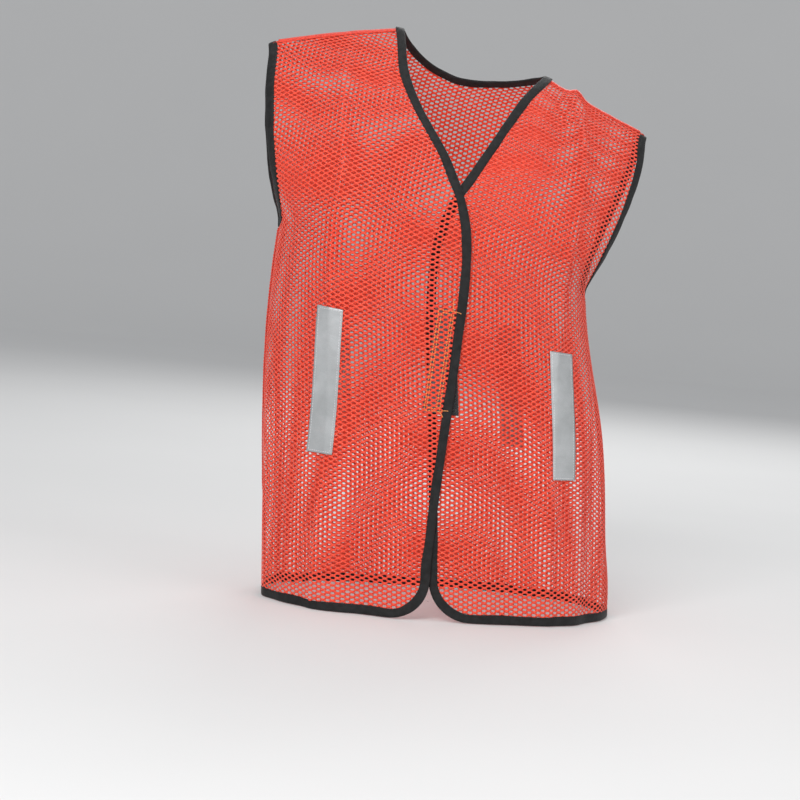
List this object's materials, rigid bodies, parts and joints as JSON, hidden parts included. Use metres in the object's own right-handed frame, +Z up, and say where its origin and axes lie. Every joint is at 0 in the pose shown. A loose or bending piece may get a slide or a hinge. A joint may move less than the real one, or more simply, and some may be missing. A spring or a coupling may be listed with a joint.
{
  "type": "high-visibility mesh vest",
  "caption": "Sleeveless V-neck mesh safety vest with bound edges, reflective strips and two overlapping fronts that fold open and close with hook and loop tape.",
  "frame": {"origin": "midway between the two points where the neck meets the shoulder line, the place the vest is carried from", "axes": "+Z up, -Y towards the wearer's front, -X towards the wearer's right"},
  "size_m": [0.3914, 0.2307, 0.5819],
  "materials": {
    "mesh_cloth": "matte open-mesh polyester",
    "edge_binding": "matte woven tape",
    "seam_tape": "orange overlocked seam",
    "reflective_tape": "smooth grey retro-reflective cloth",
    "strip_thread": "grey sewing thread",
    "tape_thread": "orange sewing thread",
    "hook_tape": "black hook pile",
    "loop_tape": "black brushed loop pile"
  },
  "bodies": {
    "back": {"back_hem_binding": "edge_binding", "back_neck_binding": "edge_binding", "back_panel": "mesh_cloth", "left_armhole_binding": "edge_binding", "left_back_strip": "reflective_tape", "left_back_strip_stitching": "strip_thread", "left_front_strip": "reflective_tape", "left_front_strip_stitching": "strip_thread", "left_hem_binding": "edge_binding", "left_neck_binding": "edge_binding", "left_shoulder_seam": "seam_tape", "left_side_front": "mesh_cloth", "left_side_seam": "seam_tape", "right_armhole_binding": "edge_binding", "right_back_strip": "reflective_tape", "right_back_strip_stitching": "strip_thread", "right_front_strip": "reflective_tape", "right_front_strip_stitching": "strip_thread", "right_hem_binding": "edge_binding", "right_neck_binding": "edge_binding", "right_shoulder_seam": "seam_tape", "right_side_front": "mesh_cloth", "right_side_seam": "seam_tape"},
    "right_front": {"right_front_flap": "mesh_cloth", "right_edge_binding": "edge_binding", "hook_tape": "hook_tape", "hook_tape_stitching": "tape_thread"},
    "left_front": {"left_front_flap": "mesh_cloth", "left_edge_binding": "edge_binding", "loop_tape": "loop_tape", "loop_tape_stitching": "tape_thread"}
  },
  "joints": [
    {"name": "right_front_open", "type": "hinge", "parent": "back", "child": "right_front", "pos_m": [-0.109, -0.1307, -0.563], "axis": [-0.1719, 0, -0.9851], "range_deg": [0, 110]},
    {"name": "left_front_open", "type": "hinge", "parent": "back", "child": "left_front", "pos_m": [0.115, -0.1307, -0.563], "axis": [-0.2383, 0, 0.9712], "range_deg": [0, 22]}
  ],
  "couplings": [
    {"joint": "left_front_open", "follows": "right_front_open", "ratio": 0.2}
  ]
}
